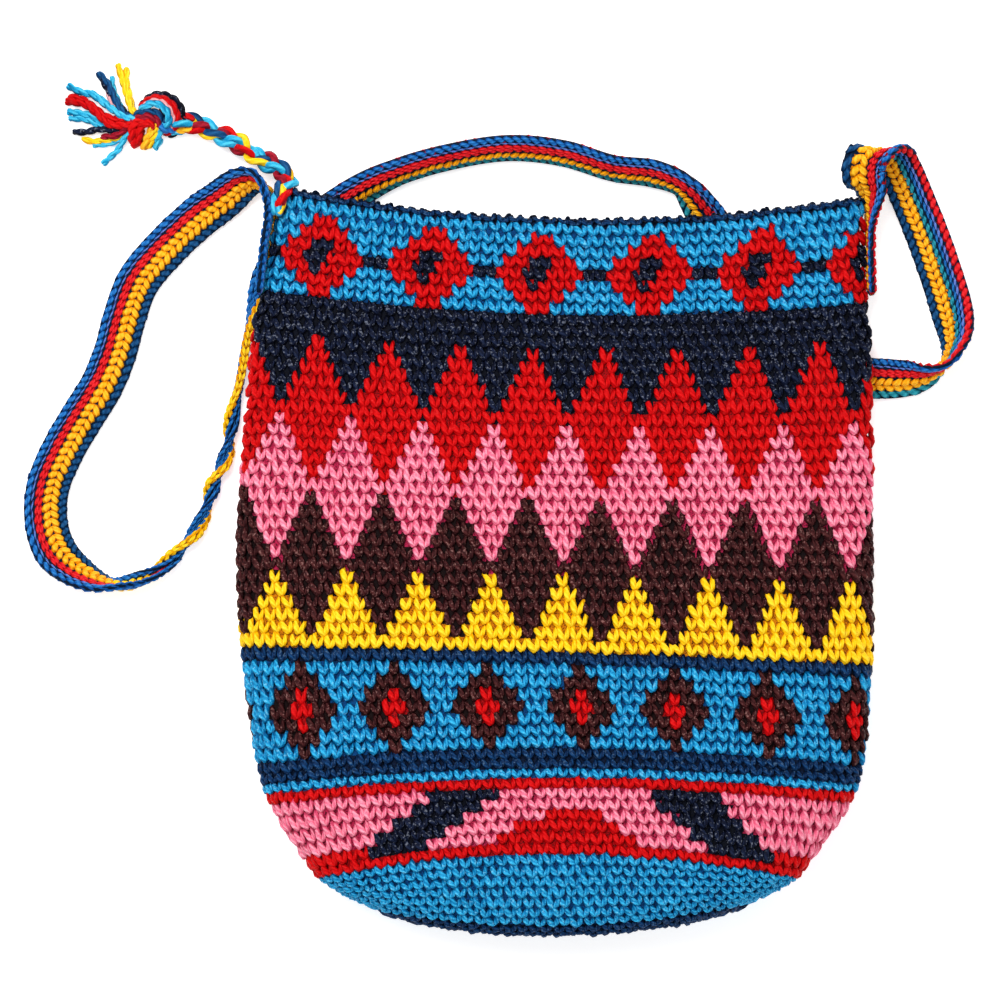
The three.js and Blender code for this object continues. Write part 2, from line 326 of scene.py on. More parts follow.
def walk(points):
    # each point of a line with the length up to it and its directions
    travelled = 0
    for i, directions in enumerate(turnedFrames(points)):
        if i:
            travelled += (Vector(points[i]) - Vector(points[i - 1])).length
        yield Vector(points[i]), travelled, directions


tubeEnd = {"bulge": 0.6, "shade": 0.7}     # how far an end stands out, in radii, and how lit it is


def tube(points, radii, sides, lengthPerTurn, shades):
    # a closed round-ended thread along points; v of its UV counts twists of the plies
    vertices, vertexShades, places, ends = [], [], [], []
    for i, (point, travelled, (ahead, across, over)) in enumerate(walk(points)):
        places.append(travelled / lengthPerTurn)
        ends.append(ahead)
        for n in range(sides):
            angle = 2 * math.pi * n / sides
            out = across * math.cos(angle) + over * math.sin(angle)
            vertices.append(point + out * radii[i])
            vertexShades.append(shades[i] * max(0, 0.5 + 0.5 * math.sin(angle)))
    first, last = len(vertices), len(vertices) + 1
    vertices.append(Vector(points[0]) - ends[0] * radii[0] * tubeEnd["bulge"])
    vertices.append(Vector(points[-1]) + ends[-1] * radii[-1] * tubeEnd["bulge"])
    vertexShades += [shades[0] * tubeEnd["shade"], shades[-1] * tubeEnd["shade"]]
    faces, uvs = [], []
    for n in range(sides):
        after = (n + 1) % sides
        left, right = n / sides, (n + 1) / sides
        faces.append((first, after, n))
        uvs += [((left + right) / 2, places[0]), (right, places[0]), (left, places[0])]
        for i in range(len(points) - 1):
            a, b = i * sides, (i + 1) * sides
            faces.append((a + n, a + after, b + after, b + n))
            uvs += [(left, places[i]), (right, places[i]), (right, places[i + 1]), (left, places[i + 1])]
        end = (len(points) - 1) * sides
        faces.append((last, end + n, end + after))
        uvs += [((left + right) / 2, places[-1]), (left, places[-1]), (right, places[-1])]
    return vertices, faces, uvs, vertexShades


def joined(parts):
    # several (vertices, faces, uvs, shades) as one
    vertices, faces, uvs, shades = [], [], [], []
    for part in parts:
        start = len(vertices)
        vertices += part[0]
        faces += [tuple(start + n for n in face) for face in part[1]]
        uvs += part[2]
        shades += part[3]
    return vertices, faces, uvs, shades


# legs are lists of (x, y, z, radius, shade) in mm: x along the row, y towards the
# rim, z outwards
stitchShapes = {
    "vee": [  # a crochet stitch: two legs that meet below and in front, the left one fuller
        [(-2.3, 3.5, -0.8, 0.8, 0.2), (-2.0, 1.8, 0.05, 1.3, 0.75), (-1.05, -0.4, 0.75, 1.46, 1.0),
         (0.05, -2.3, 0.6, 1.0, 0.8)],
        [(2.0, 3.3, -1.0, 0.8, 0.15), (1.85, 1.7, -0.2, 1.14, 0.6), (1.35, -0.3, 0.35, 1.24, 0.9),
         (0.6, -2.0, 0.3, 0.95, 0.7)],
    ],
    "chain": [  # one loop of a chain, seen from its front
        [(-1.5, 3.1, -0.5, 0.7, 0.3), (-1.45, 1.2, 0.1, 1.0, 0.9), (-0.9, -0.9, 0.3, 1.0, 1.0),
         (-0.15, -2.6, -0.2, 0.7, 0.5)],
        [(1.5, 3.1, -0.5, 0.7, 0.3), (1.45, 1.2, 0.1, 1.0, 0.9), (0.9, -0.9, 0.3, 1.0, 1.0),
         (0.15, -2.6, -0.2, 0.7, 0.5)],
    ],
    "knot": [  # a thick pair of loops with a hole between them
        [(-1.75, 3.0, -0.6, 0.9, 0.2), (-1.6, 1.3, 0.25, 1.3, 0.95), (-0.95, -0.7, 0.4, 1.25, 1.0),
         (-0.3, -2.5, -0.4, 0.8, 0.4)],
        [(1.75, 3.4, -0.6, 0.9, 0.2), (1.6, 1.7, 0.25, 1.3, 0.95), (0.95, -0.3, 0.4, 1.25, 1.0),
         (0.3, -2.1, -0.4, 0.8, 0.4)],
    ],
    "float": [  # two long threads that slant the same way
        [(-1.5, -2.9, -0.5, 0.7, 0.3), (-1.3, -1.0, 0.15, 1.1, 0.9), (-0.5, 1.2, 0.2, 1.1, 1.0),
         (0.0, 3.1, -0.5, 0.7, 0.3)],
        [(0.1, -3.4, -0.5, 0.7, 0.3), (0.35, -1.5, 0.15, 1.1, 0.9), (1.1, 0.7, 0.2, 1.1, 1.0),
         (1.5, 2.6, -0.5, 0.7, 0.3)],
    ],
    "slant": [  # one slanting float of the woven band
        [(-0.75, -3.4, -0.6, 0.6, 0.2), (-0.5, -1.3, 0.15, 1.05, 0.9), (0.4, 1.0, 0.2, 1.05, 1.0),
         (0.75, 3.3, -0.6, 0.6, 0.2)],
    ],
}
stitchSides = 6
stitchTurn = 3.6 * mm      # length of one twist of a stitch's plies
shapeWidth = {"slant": 2.7, "float": 4.9, "knot": 4.9}     # of the strap's stitches, in mm
shapeLength = 4.9 * mm


def stitchObject(name):
    parts = []
    for leg in stitchShapes[name]:
        points = [Vector(p[:3]) * mm for p in leg]
        radii = [p[3] * mm for p in leg]
        parts.append(tube(points, radii, stitchSides, stitchTurn, [p[4] for p in leg]))
    shape = newPiece(name + "Stitch", newMesh(name + "Stitch", *joined(parts)))
    shape.hide_render = True
    return shape


stitchObjects = {name: stitchObject(name) for name in stitchShapes}


def plantingTree(kinds):
    # kinds are the (shape, yarn) pairs that occur; each has its own branch
    tree = bpy.data.node_groups.new("planting", "GeometryNodeTree")
    tree.interface.new_socket("Geometry", in_out="INPUT", socket_type="NodeSocketGeometry")
    for name in ("Tilt", "Size spread", "Drift"):
        tree.interface.new_socket(name, in_out="INPUT", socket_type="NodeSocketFloat")
    tree.interface.new_socket("Seed", in_out="INPUT", socket_type="NodeSocketInt")
    tree.interface.new_socket("Geometry", in_out="OUTPUT", socket_type="NodeSocketGeometry")
    given = addNode(tree, "NodeGroupInput").outputs
    out = addNode(tree, "NodeGroupOutput")

    def spread(amount, data, seedStep):
        # a random value from minus amount to plus amount
        low, high, out = (0, 1, 0) if data == "FLOAT_VECTOR" else (2, 3, 1)
        values = {low: Value(tree, amount) * -1.0, high: amount,
                  "Seed": Value(tree, given["Seed"]) + float(seedStep)}
        return addNode(tree, "FunctionNodeRandomValue", {"data_type": data}, values).outputs[out]

    def stored(name, data="FLOAT_VECTOR"):
        values = {"Name": name}
        return addNode(tree, "GeometryNodeInputNamedAttribute", {"data_type": data}, values).outputs[0]

    moved = addNode(tree, "GeometryNodeSetPosition", {},
                    {"Geometry": given["Geometry"], "Offset": spread(given["Drift"], "FLOAT_VECTOR", 1)})
    facing = addNode(tree, "FunctionNodeEulerToRotation", {}, {0: stored("turn")})
    lean = addNode(tree, "FunctionNodeEulerToRotation", {}, {0: spread(given["Tilt"], "FLOAT_VECTOR", 2)})
    turned = addNode(tree, "FunctionNodeRotateRotation", {"rotation_space": "LOCAL"},
                     {0: facing.outputs[0], 1: lean.outputs[0]})
    grown = Value(tree, spread(given["Size spread"], "FLOAT", 3)) + 1.0
    scale = addNode(tree, "ShaderNodeVectorMath", {"operation": "SCALE"},
                    {0: stored("size"), "Scale": grown})
    kind = stored("kind", "INT")
    both = addNode(tree, "GeometryNodeJoinGeometry")
    for index, (shape, yarn) in enumerate(kinds):
        chosen = addNode(tree, "FunctionNodeCompare", {"data_type": "INT", "operation": "EQUAL"},
                         {2: kind, 3: index})
        source = addNode(tree, "GeometryNodeObjectInfo", {}, {"Object": stitchObjects[shape]})
        planted = addNode(tree, "GeometryNodeInstanceOnPoints", {}, {
            "Points": moved.outputs[0], "Selection": chosen.outputs[0],
            "Instance": source.outputs["Geometry"], "Rotation": turned.outputs[0],
            "Scale": scale.outputs[0]})
        real = addNode(tree, "GeometryNodeRealizeInstances", {}, {0: planted.outputs[0]})
        dyed = addNode(tree, "GeometryNodeSetMaterial", {},
                       {"Geometry": real.outputs[0], "Material": yarnMaterials[yarn]})
        tree.links.new(dyed.outputs[0], both.inputs[0])
    tree.links.new(both.outputs[0], out.inputs[0])
    return tree


def plant(name, stitches, tilt, sizeSpread, drift, seed):
    # stitches are (point, along row, towards rim, outwards, size, shape, yarn)
    rng = random.Random(seed)
    kinds = sorted({(s[5], s[6]) for s in stitches})
    mesh = bpy.data.meshes.new(name + "Places")
    mesh.from_pydata([tuple(s[0]) for s in stitches], [], [])
    turns, sizes = [], []
    for point, along, up, outwards, size, shape, yarn in stitches:
        turns += Matrix((along, up, outwards)).transposed().to_euler()
        sizes += size
    layers = (("turn", "FLOAT_VECTOR", "vector", turns), ("size", "FLOAT_VECTOR", "vector", sizes),
              ("kind", "INT", "value", [kinds.index((s[5], s[6])) for s in stitches]),
              ("tone", "FLOAT", "value", [rng.random() for s in stitches]))
    for layer, data, key, values in layers:
        mesh.attributes.new(layer, data, "POINT").data.foreach_set(key, values)
    places = newPiece(name + "Places", mesh)
    tree = plantingTree(kinds)
    growing = places.modifiers.new("stitches", "NODES")
    growing.node_group = tree
    wanted = {"Tilt": tilt, "Size spread": sizeSpread, "Drift": drift, "Seed": seed}
    for item in tree.interface.items_tree:
        if item.in_out == "INPUT" and item.name in wanted:
            growing[item.identifier] = wanted[item.name]
    graph = bpy.context.evaluated_depsgraph_get()
    grown = bpy.data.meshes.new_from_object(places.evaluated_get(graph), preserve_all_data_layers=True,
                                            depsgraph=graph)
    grown.name = name
    while grown.materials and grown.materials[0] is None:
        grown.materials.pop(index=0)
    for layer in ("turn", "size", "kind"):
        grown.attributes.remove(grown.attributes[layer])
    bpy.data.objects.remove(places)
    piece = newPiece(name, grown)
    triangles = sum(len(p.vertices) - 2 for p in grown.polygons)
    print(name, "has", len(stitches), "stitches,", triangles, "triangles")
    return piece


def steady(along, up):
    # three square directions from the way along a row and the way towards the rim
    outwards = along.cross(up).normalized()
    along = along.normalized()
    return along, outwards.cross(along).normalized(), outwards


# the route from the left sewn end round to the right one: each point's place in mm,
# and the direction in which the blue edge lies from it
strapRoute = [
    (-129.8, 117, 13, -0.1, 0, 1), (-127.2, 140, 13, -0.15, 0, 1), (-125.2, 154, 13.2, -0.2, 0, 1),
    (-127.6, 163, 13.2, -0.25, 0.2, 0.95), (-132.8, 167, 12, -0.25, 0.45, 0.85),
    (-138.6, 165.6, 9.6, -0.35, 0.6, 0.7), (-147, 159, 5, -0.6, 0.8, 0.4),
    (-158, 151, 2.6, -0.62, 0.78, 0.1), (-172.5, 137.5, 2.1, -0.7, 0.7, 0),
    (-184.8, 122.5, 2.1, -0.85, 0.45, 0), (-190.8, 106.6, 2.1, -0.97, 0.3, 0),
    (-195, 91, 2.1, -0.95, 0.35, 0), (-201, 76.4, 2.1, -0.9, 0.45, 0), (-210, 61.8, 2.1, -0.87, 0.5, 0),
    (-218.6, 46.8, 2.1, -0.9, 0.42, 0), (-224.6, 32, 2.1, -0.98, 0.2, 0),
    (-225.6, 17, 2.2, -1, -0.1, 0.05), (-221.2, 3, 3.4, -0.85, -0.5, 0.3),
    (-210.5, -6.6, 7.2, -0.35, -0.6, 0.8), (-197.5, -11.6, 9.4, -0.05, -0.25, 1),
    (-183.6, -9.4, 8.6, 0.05, 0, 1), (-171, -2.4, 6.6, -0.1, 0.25, 1),
    (-160.6, 10.4, 4.6, -0.4, 0.4, 0.8), (-153.2, 26, 3.9, -0.8, 0.5, 0.2),
    (-148, 40, 3.9, -0.8, 0.5, 0.2), (-143.9, 54.4, 3.6, -0.8, 0.4, 0.1),
    (-141.2, 67.6, 2.6, -0.9, 0.4, 0), (-138.6, 83, 2.6, -0.9, 0.3, 0),
    (-134.6, 103, 2.6, -0.9, 0.45, 0), (-124, 126, 2, -0.8, 0.6, 0), (-105, 148, 2, -0.75, 0.65, 0),
    (-88, 161.6, 3.4, -0.5, 0.8, 0.3), (-70, 170.6, 5.6, -0.2, 0.8, 0.55),
    (-46, 177.6, 6.2, -0.15, 0.8, 0.58), (-20, 181.4, 6.2, 0, 0.8, 0.58),
    (4, 179, 6.2, 0.15, 0.8, 0.58), (26, 172.4, 6, 0.12, 0.8, 0.58), (44, 170, 5.4, 0.1, 0.8, 0.5),
    (57, 164.6, 5.4, 0.4, 0.6, 0.6), (67, 151, 2.2, 0.85, 0.5, 0), (78, 131, 2, 0.85, 0.5, 0),
    (94, 108, 2, 0.75, 0.65, 0), (114, 90, 2, 0.5, 0.85, 0), (136, 80.6, 2, 0.2, 1, 0),
    (148, 79.4, 2.4, 0, 1, 0.1), (158, 80, 4.4, -0.1, 0.9, 0.4), (167, 82.6, 8, -0.15, 0.5, 0.85),
    (174.4, 88.6, 10.2, 0.2, 0.1, 1), (177.4, 98, 8.4, 0.65, 0, 0.75), (175.6, 111, 4.6, 0.95, 0, 0.3),
    (170.6, 128, 2.6, 1, 0.3, 0.06), (164.2, 146, 2.4, 1, 0.33, 0), (158, 161, 3, 1, 0.3, 0),
    (153.4, 171, 5.6, 1, 0.2, 0), (149, 177.6, 11.6, 1, 0.1, 0), (142, 179, 18.8, 1, 0, 0),
    (136.8, 175.4, 23, 1, 0, 0.02), (135.8, 167.6, 21.4, 1, 0, 0.1), (138.4, 162.6, 17, 0.6, 0, 0.7),
    (139.4, 152.6, 14, 0.15, 0, 1), (139.4, 144, 13, 0, 0, 1), (139.4, 132, 13, 0, 0, 1),
    (140, 117, 13, 0, 0, 1),
]
strapWidth = 19            # mm
strap = {
    "width": strapWidth * mm,
    "thickness": 3.2 * mm,
    "stitchLength": 3.8 * mm,
    "sectionSteps": 40,                    # places across the width, less one
    "ribInset": 1.05 * mm,                 # from the band's outside to the middle of its ribs
    "coreThickness": 1.4 * mm,
    "coreStride": 4,                       # places across between its edges
    "clearance": 0.5 * mm,
    "edgeOn": 0.3,                         # a face whose direction has less height is on edge
    "edgeDepth": 1.0 * mm,
    "liftReach": 4,                        # half-stitches over which a lift fades
    "ropeFrom": 18.6, "ropeTo": 29.2,      # points of the route between which it is rolled up
    "ropeYarnsFrom": 19.0,                 # from here only blue, yellow and one red rib show
    "turnsTo": 27.4,                       # where its last turn ends
    "ropeTurns": 3,
    "turning": (0.04, 0.96),               # shares of that stretch between which it turns
    "ropeWidthShare": 0.52,
    "ropeThicknessShare": 0.75,
    "ropeFade": (2.5, 1.5),                # points over which it rolls up and opens out
    "rollAngle": 96,                       # degrees by which the two sides are folded up
    "flatMiddle": 3.0,                     # mm on each side of the gold rib's middle
    "steps": [(29.3, 39.9, 64), (41.0, 47.5, 40)],   # the gold rib stands on edge: from, to, degrees
    "stepFade": (1.5, 1.2),
    "stepShape": (2.2, 0.62),              # the step is full near the gold rib's middle and fades out
    "swapAt": 29.3,                        # the two faces change colour here, under the bag
    "tealTo": 47,                          # the front's last rib is teal from the swap to here
    "tilt": 0.07,
    "sizeSpread": 0.05,
    "drift": 0.15 * mm,
    "seed": 5,
}
# the ribs of each face from the blue edge: yarn, shape, width in mm, thickness share
frontRibs = [("strapBlue", "slant", 3.1, 1.0), ("periwinkle", "slant", 1.0, 0.7),
             ("strapRed", "float", 4.3, 0.9), ("gold", "knot", 6.6, 1.1), ("strapNavy", "slant", 4.0, 1.0)]
backRibs = [("strapRed", "slant", 3.8, 1.25), ("periwinkle", "slant", 1.6, 0.9),
            ("strapBlue", "slant", 1.6, 0.9), ("teal", "slant", 2.6, 0.9), ("gold", "knot", 5.6, 1.0),
            ("strapNavy", "slant", 3.8, 1.0)]
goldMiddle = (sum(rib[2] for rib in frontRibs[:3]) + frontRibs[3][2] / 2) / strapWidth


curveSteps = 12            # between two points of a route


def smoothLine(points):
    # a centripetal Catmull-Rom curve through points: (place, point number) along it
    line = []
    last = len(points) - 1
    for i in range(last):
        p1, p2 = Vector(points[i]), Vector(points[i + 1])
        p0 = Vector(points[i - 1]) if i else p1 * 2 - p2
        p3 = Vector(points[i + 2]) if i + 2 <= last else p2 * 2 - p1
        d0, d1, d2 = math.sqrt((p1 - p0).length), math.sqrt((p2 - p1).length), math.sqrt((p3 - p2).length)
        t1 = ((p1 - p0) / d0 - (p2 - p0) / (d0 + d1) + (p2 - p1) / d1) * d1
        t2 = ((p2 - p1) / d1 - (p3 - p1) / (d1 + d2) + (p3 - p2) / d2) * d1
        for n in range(curveSteps + (i == last - 1)):
            t = n / curveSteps
            place = (p1 * (2 * t ** 3 - 3 * t ** 2 + 1) + t1 * (t ** 3 - 2 * t ** 2 + t)
                     + p2 * (3 * t ** 2 - 2 * t ** 3) + t2 * (t ** 3 - t ** 2))
            line.append((place, i + t))
    return line


def evenly(line, step):
    # the same line at even steps: (place, point number)
    run = [0]
    for (a, _), (b, _) in zip(line, line[1:]):
        run.append(run[-1] + (b - a).length)
    count = round(run[-1] / step)
    wanted = np.linspace(0, run[-1], count + 1)
    columns = [np.interp(wanted, run, [p[0][k] for p in line]) for k in range(3)]
    numbers = np.interp(wanted, run, [p[1] for p in line])
    return [Vector(place) for place in zip(*columns)], numbers, run[-1]


def smoothStep(value, low, high):
    t = min(max((value - low) / (high - low), 0), 1)
    return t * t * (3 - 2 * t)


def bandSection(number):
    # the band's section: across, over and heading at places from the blue edge, and the
    # shares of its thickness and width
    rollIn, openOut = strap["ropeFade"]
    rolled = smoothStep(number, strap["ropeFrom"], strap["ropeFrom"] + rollIn)
    rolled *= 1 - smoothStep(number, strap["ropeTo"] - openOut, strap["ropeTo"])
    fadeIn, fadeOut = strap["stepFade"]
    stepped = 0
    for start, end, angle in strap["steps"]:
        rise = smoothStep(number, start, start + fadeIn)
        stepped += angle * rise * (1 - smoothStep(number, end - fadeOut, end))
    share = 1 - rolled * (1 - strap["ropeWidthShare"])
    fromGold = (np.linspace(0, 1, strap["sectionSteps"] + 1) - goldMiddle) * strapWidth
    heading = rolled * math.radians(strap["rollAngle"]) * np.clip(fromGold / strap["flatMiddle"], -1, 1)
    full, fade = strap["stepShape"]
    heading = heading - math.radians(stepped) * np.clip(full - np.abs(fromGold) * fade, 0, 1)
    step = strap["width"] * share / strap["sectionSteps"]
    across = np.concatenate([[0], np.cumsum((np.cos(heading[1:]) + np.cos(heading[:-1])) / 2 * step)])
    over = np.concatenate([[0], np.cumsum((np.sin(heading[1:]) + np.sin(heading[:-1])) / 2 * step)])
    across -= (across.max() + across.min()) / 2
    over -= (over.max() + over.min()) / 2
    thick = 1 - (1 - strap["ropeThicknessShare"]) * rolled
    return across, over, heading, thick, share


def bandGrid():
    # places, outward directions and sizes over the whole band, at half-stitch steps
    line = smoothLine([Vector(p[:3]) * mm for p in strapRoute])
    centres, numbers, length = evenly(line, strap["stitchLength"] / 2)
    rows, lifts = [], []
    for i, number in enumerate(numbers):
        ahead = (centres[min(i + 1, len(centres) - 1)] - centres[max(i - 1, 0)]).normalized()
        low = min(int(number), len(strapRoute) - 2)
        share = number - low
        edge = Vector(strapRoute[low][3:6]).lerp(Vector(strapRoute[low + 1][3:6]), share)
        side = (edge - ahead * edge.dot(ahead)).normalized()
        spun = (number - strap["ropeFrom"]) / (strap["turnsTo"] - strap["ropeFrom"])
        turned = 2 * math.pi * strap["ropeTurns"] * smoothStep(spun, *strap["turning"])
        side.rotate(Matrix.Rotation(turned, 3, ahead))
        face = ahead.cross(side)
        front = -1 if number < strap["swapAt"] else 1     # which way the front of the band looks
        across, over, heading, thick, narrow = bandSection(number)
        ring = []
        for a, o, h in zip(across, over, heading):
            # the section starts at the blue edge, so across runs against side
            place = centres[i] - side * a + face * front * o
            outwards = face * front * math.cos(h) + side * math.sin(h)
            ring.append((place, outwards))
        half = strap["thickness"] / 2 * thick
        lowest = min(p.z - (half if abs(n.z) > strap["edgeOn"] else strap["edgeDepth"]) for p, n in ring)
        lifts.append(max(0, strap["clearance"] - lowest))
        rows.append({"ring": ring, "centre": centres[i], "thick": thick, "narrow": narrow,
                     "number": number})
    # the band is lifted off the floor, and its neighbours with it so that it stays smooth
    reach = strap["liftReach"]
    highest = [max(lifts[max(i - reach, 0):i + reach + 1]) for i in range(len(rows))]
    for i, row in enumerate(rows):
        near = highest[max(i - reach, 0):i + reach + 1]
        lift = Vector((0, 0, sum(near) / len(near)))
        row["ring"] = [(p + lift, n) for p, n in row["ring"]]
        row["centre"] = row["centre"] + lift
    return rows, length


def onRing(row, share):
    # the place and outward direction at a share of the width
    spot = min(max(share, 0), 1) * strap["sectionSteps"]
    low = min(int(spot), strap["sectionSteps"] - 1)
    (p1, n1), (p2, n2) = row["ring"][low], row["ring"][low + 1]
    return p1.lerp(p2, spot - low), n1.lerp(n2, spot - low).normalized()


def ribYarn(yarn, face, number):
    # the ribs' yarns differ on the two sides of the swap, and where the band is rolled up
    if strap["ropeYarnsFrom"] < number < strap["ropeTo"]:
        if yarn == "gold":
            return "yellow"
        return yarn if yarn == "strapRed" and face > 0 else "strapBlue"
    if number < strap["swapAt"]:
        return "strapBlue" if yarn == "strapRed" and face < 0 else yarn
    return "teal" if yarn == "strapNavy" and face > 0 and number < strap["tealTo"] else yarn


def strapStitches(rows):
    stitches = []
    for i in range(1, len(rows) - 1):
        row = rows[i]
        for ribs, face in ((frontRibs, 1), (backRibs, -1)):
            done = 0
            total = sum(rib[2] for rib in ribs)
            for index, (yarn, shape, width, thick) in enumerate(ribs):
                middle = (done + width / 2) / total
                done += width
                if (i + index) % 2:
                    continue
                place, outwards = onRing(row, middle)
                before, _ = onRing(rows[i - 1], middle)
                after, _ = onRing(rows[i + 1], middle)
                up = (after - before).normalized()
                along = up.cross(outwards * face).normalized()
                outwards = along.cross(up).normalized()
                place = place + outwards * (strap["thickness"] / 2 - strap["ribInset"]) * row["thick"]
                size = [width / shapeWidth[shape] * row["narrow"], (after - before).length / shapeLength,
                        thick * row["thick"]]
                colour = ribYarn(yarn, face, row["number"])
                stitches.append((place, along, up, outwards, size, shape, colour))
    return stitches


def bandCore(rows):
    # a thin closed band inside the ribs
    half = strap["coreThickness"] / 2
    picks = range(0, strap["sectionSteps"] + 1, strap["coreStride"])
    vertices, faces = [], []
    for row in rows:
        points = [row["ring"][k] for k in picks]
        for p, n in points:
            vertices.append(p + n * half * row["thick"])
        for p, n in reversed(points):
            vertices.append(p - n * half * row["thick"])
    count = len(picks) * 2
    for i in range(len(rows) - 1):
        a, b = i * count, (i + 1) * count
        for k in range(count):
            after = (k + 1) % count
            faces.append((a + k, a + after, b + after, b + k))
    faces.append(tuple(reversed(range(count))))
    end = (len(rows) - 1) * count
    faces.append(tuple(end + k for k in range(count)))
    return newMesh("bandCore", vertices, faces)


def outwardFaces(mesh):
    work = bmesh.new()
    work.from_mesh(mesh)
    bmesh.ops.recalc_face_normals(work, faces=work.faces)
    work.to_mesh(mesh)
    work.free()


def joinPieces(first, others):
    bpy.ops.object.select_all(action="DESELECT")
    for piece in others:
        piece.select_set(True)
    first.select_set(True)
    bpy.context.view_layer.objects.active = first
    bpy.ops.object.join()
    return first


def addStrap():
    rows, length = bandGrid()
    piece = plant("shoulderStrap", strapStitches(rows), strap["tilt"], strap["sizeSpread"], strap["drift"],
                  strap["seed"])
    coreMesh = bandCore(rows)
    outwardFaces(coreMesh)
    coreMesh.materials.append(yarnMaterials["strapNavy"])
    core = newPiece("bandCore", coreMesh)
    joinPieces(piece, [core])
    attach(piece, "root")
    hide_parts("shoulder_strap")
    print("strap length", round(length, 4))


addStrap()


# the bag's section at rows of crochet from the rim (0) to the middle of the base (72),
# in mm: left and right are on the side folds (x, y), front and back on the middle of
# each face (y, z), and side is the height of the folds
bodyRows = [
    (0, (-120.4, 162.8), (136.8, 158.8), (149.2, 21.5), (148.6, 5), 13),
    (4, (-125.4, 143), (137.4, 138), (132, 23.2), (131, 5), 13),
    (9, (-129.6, 118), (138, 112.4), (107.1, 25.6), (106, 5), 13),
    (12, (-134, 101.4), (139.8, 96.6), (91.7, 27.4), (91, 5), 13.4),
    (17, (-136, 71), (140, 65.6), (63.6, 30.6), (63, 4.6), 14),
    (21, (-138, 49.2), (140.3, 43), (42, 33), (42, -1), 14.6),
    (28, (-140.6, 7), (140.6, 1.8), (3.8, 37.6), (4, -3), 16),
    (36, (-138.8, -38.9), (140, -46.9), (-40.7, 42.8), (-40, -3), 17.6),
    (44, (-131.6, -90), (135.8, -91), (-82.5, 47.6), (-82, -3), 19),
    (48, (-125.6, -108), (130.6, -107), (-99.7, 49.6), (-101, -3), 19.4),
    (53, (-107.6, -136), (110, -136.4), (-123.6, 50.6), (-126, -3), 19.6),
    (57, (-95.6, -145.6), (101, -143.4), (-142.6, 49), (-145, -1), 20),
    (60, (-86, -150.6), (92, -147.6), (-156.4, 44.6), (-156.6, 2.6), 21),
    (62, (-73, -156.2), (79, -154), (-162, 40.4), (-161.4, 5.6), 21.6),
    (64, (-59, -159.2), (65, -157.6), (-163.6, 36), (-163, 9.4), 22),
    (67, (-37, -159.4), (42, -158.6), (-160.6, 31.2), (-160.4, 15), 22.6),
    (70, (-14.4, -153.6), (18.8, -153.4), (-153.6, 26), (-153.6, 20.4), 23),
]
baseMiddle = (2, -148.6, 23.2)
lastSection, rowCount = bodyRows[-1][0], 72
body = {
    "sectionPower": 2.7,
    "stitchInset": 1.5,        # mm from the bag's outside to the middle of the stitches
    "shellInset": 2.2,
    "shellThickness": 0.9,
    "innerInset": 3.6,         # the stitches seen inside the mouth
    "innerRows": 11,
    "restHeight": 2.7,         # lowest middle of the stitches under the bag
    "stitchWidth": 5.25,
    "stitchHeight": 5.15,
    "baseStitchWidth": 5.3,
    "riseLimits": (2.6, 6.6),  # of a stitch's height
    "sideInset": 1.2,          # the side folds are moved in by so many insets
    "backLowest": -3,          # mm, of the back's middle
    "innerRest": 4.7,          # lowest middle of the stitches inside
    "tilt": 0.24,
    "sizeSpread": 0.12,
    "drift": 0.4 * mm,
    "wave": 0.6,               # mm by which the stitches are out of line
    "waveUp": (0.16, 0.3, 7.3),      # noise scales along and down the rows, and its layer
    "waveAlong": (0.2, 0.23, 1.9),
    "seed": 11,
    "mouthSeed": 7,            # counted from seed
}
# for the rows up to each one: how many stitches go round, and how wide they are in
# mm over the front; the ones on the back share what is left
stitchCounts = [(12, 100, 5.37), (37, 108, 5.28), (45, 112, 5.1), (54, 108, 5.1)]
frontShare = 0.25          # of the round on each side of the front's middle


def bodyValue(column, place, row):
    # a smooth curve through one value of each section
    rows = [line[0] for line in bodyRows]
    i = min(max(sum(1 for r in rows if r < row) - 1, 0), len(rows) - 2)

    def value(n):
        return bodyRows[n][column] if place is None else bodyRows[n][column][place]

    def slope(n):
        before, after = max(n - 1, 0), min(n + 1, len(rows) - 1)
        return (value(after) - value(before)) / (rows[after] - rows[before])

    span = rows[i + 1] - rows[i]
    t = (row - rows[i]) / span
    if t > 1:
        return value(i + 1) + slope(i + 1) * (t - 1) * span
    return ((2 * t ** 3 - 3 * t ** 2 + 1) * value(i) + (t ** 3 - 2 * t ** 2 + t) * span * slope(i)
            + (3 * t ** 2 - 2 * t ** 3) * value(i + 1) + (t ** 3 - t ** 2) * span * slope(i + 1))


ringSteps = 1440
ringAngles = math.pi / 2 - np.linspace(0, 2 * math.pi, ringSteps + 1)[:-1]


def bodyRing(row, inset, rest):
    # one ring in mm from the middle of the front, by the right side, round the back
    wanted = min(row, lastSection)
    left, right, front, back = ([bodyValue(n, k, wanted) for k in (0, 1)] for n in (1, 2, 3, 4))
    side = bodyValue(5, None, wanted)
    cosine, sine = np.cos(ringAngles), np.sin(ringAngles)
    power = 2 / body["sectionPower"]
    across = np.sign(cosine) * np.abs(cosine) ** power
    up = np.abs(sine) ** power
    faceY = np.where(sine >= 0, front[0], back[0])
    faceZ = np.where(sine >= 0, front[1] - inset, max(back[1], body["backLowest"]) + inset)
    sideLine = (left[1] * (1 - across) + right[1] * (1 + across)) / 2
    moved = body["sideInset"] * inset
    x = ((left[0] + moved) * (1 - across) + (right[0] - moved) * (1 + across)) / 2
    y = sideLine + (1 - across ** 2) * (faceY - (left[1] + right[1]) / 2)
    z = np.maximum(side + up * (faceZ - side), rest)
    ring = np.stack([x, y, z], axis=1)
    if row > lastSection:
        share = (row - lastSection) / (rowCount - lastSection)
        ring = ring * (1 - share) + np.array(baseMiddle) * share
    return ring


